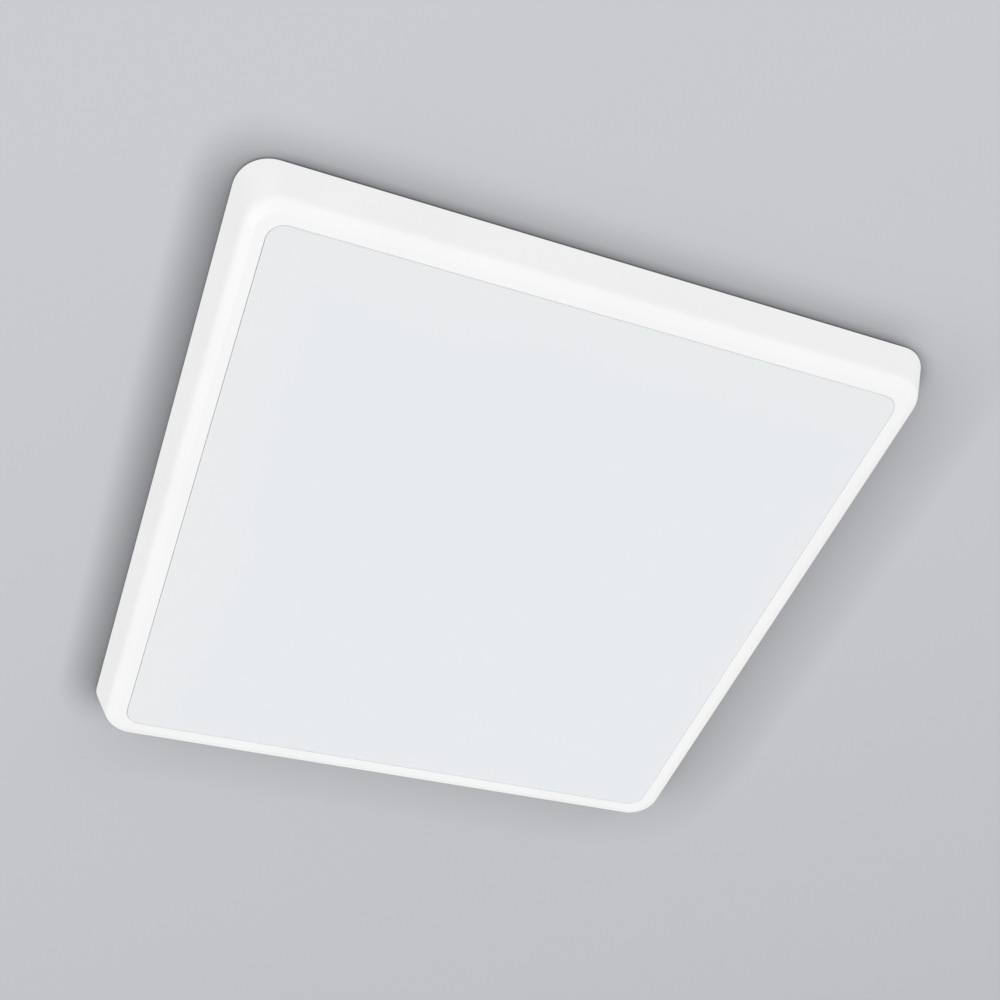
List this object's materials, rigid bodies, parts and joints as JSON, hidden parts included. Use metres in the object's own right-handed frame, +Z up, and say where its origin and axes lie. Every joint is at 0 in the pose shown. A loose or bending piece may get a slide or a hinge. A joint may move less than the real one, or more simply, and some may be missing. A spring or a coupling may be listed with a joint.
{
  "type": "flush mount ceiling light",
  "caption": "Slim square flush mount ceiling light: white sloped frame with rounded nose, flush opal diffuser lit from its edges, snap-off steel ceiling bracket.",
  "frame": {"origin": "centre of the ceiling bracket, in the ceiling plane", "axes": "+Z up into the ceiling, +X along the bracket and its two ceiling screws, light hangs towards -Z"},
  "size_m": [0.42, 0.42, 0.0285],
  "materials": {
    "frame_plastic": "satin white moulding",
    "foam": "closed cell foam",
    "opal_sheet": "opal, fine matt",
    "clear_acrylic": "polished clear",
    "white_film": "matt white film",
    "painted_steel": "white powder coat",
    "galvanised_steel": "galvanised",
    "spring_steel": "bare spring steel",
    "zinc_steel": "zinc plated",
    "rubber_grey": "moulded rubber",
    "case_plastic": "moulded off-white",
    "circuit_board": "green board",
    "ferrite": "ferrite",
    "capacitor_sleeve": "shrink sleeve",
    "block_plastic": "light grey moulding",
    "button_plastic": "orange moulding",
    "contact_metal": "tinned brass",
    "white_board": "white solder mask",
    "led_chip": "yellow phosphor",
    "aluminium_angle": "mill finish",
    "lead_white": "insulated wire",
    "lead_red": "insulated wire",
    "lead_brown": "insulated wire",
    "lead_blue": "insulated wire",
    "lead_earth": "green and yellow insulated wire"
  },
  "bodies": {
    "ceiling_bracket": {"mounting_bracket": "galvanised_steel", "bracket_grommet": "rubber_grey", "spring_clip_right": "spring_steel", "spring_clip_left": "spring_steel", "clip_rivets": "zinc_steel"},
    "lamp_head": {"front_frame": "frame_plastic", "gasket": "foam", "diffuser": "opal_sheet", "light_guide": "clear_acrylic", "reflector_film": "white_film", "pressure_pads": "foam", "back_plate": "painted_steel", "plate_screws": "zinc_steel", "corner_jumpers": "lead_white", "feed_wires": "lead_red", "feed_grommet": "rubber_grey", "catch_rivets": "zinc_steel", "driver_case": "case_plastic", "driver_cover": "case_plastic", "driver_board": "circuit_board", "driver_transformer": "ferrite", "driver_capacitors": "capacitor_sleeve", "driver_choke": "ferrite", "driver_screws": "zinc_steel", "terminal_box": "case_plastic", "terminal_block": "block_plastic", "terminal_contacts": "contact_metal", "cable_clamp": "case_plastic", "clamp_screws": "zinc_steel", "box_screws": "zinc_steel", "live_lead": "lead_brown", "neutral_lead": "lead_blue", "earth_lead": "lead_earth", "earth_tag": "contact_metal", "earth_screw": "zinc_steel", "catch_right": "galvanised_steel", "catch_left": "galvanised_steel", "led_board_right": "white_board", "led_chips_right": "led_chip", "strip_carrier_right": "aluminium_angle", "led_board_rear": "white_board", "led_chips_rear": "led_chip", "strip_carrier_rear": "aluminium_angle", "led_board_left": "white_board", "led_chips_left": "led_chip", "strip_carrier_left": "aluminium_angle", "led_board_front": "white_board", "led_chips_front": "led_chip", "strip_carrier_front": "aluminium_angle"},
    "terminal_cover": {"terminal_cover": "case_plastic"},
    "release_button_live": {"release_button_live": "button_plastic"},
    "release_button_neutral": {"release_button_neutral": "button_plastic"},
    "release_button_earth": {"release_button_earth": "button_plastic"}
  },
  "joints": [
    {"name": "lamp_release", "type": "slide", "parent": "ceiling_bracket", "child": "lamp_head", "axis": [0, 0, -1], "range_m": [0, 0.08]},
    {"name": "cover_hinge", "type": "hinge", "parent": "lamp_head", "child": "terminal_cover", "pos_m": [0, 0.0946, -0.0042], "axis": [-1, 0, 0], "range_deg": [0, 110]},
    {"name": "button_travel_live", "type": "slide", "parent": "lamp_head", "child": "release_button_live", "axis": [0, 0, -1], "range_m": [0, 0.001], "stiffness_N_per_m": 800, "springref_m": -0.001},
    {"name": "button_travel_neutral", "type": "slide", "parent": "lamp_head", "child": "release_button_neutral", "axis": [0, 0, -1], "range_m": [0, 0.001], "stiffness_N_per_m": 800, "springref_m": -0.001},
    {"name": "button_travel_earth", "type": "slide", "parent": "lamp_head", "child": "release_button_earth", "axis": [0, 0, -1], "range_m": [0, 0.001], "stiffness_N_per_m": 800, "springref_m": -0.001}
  ]
}
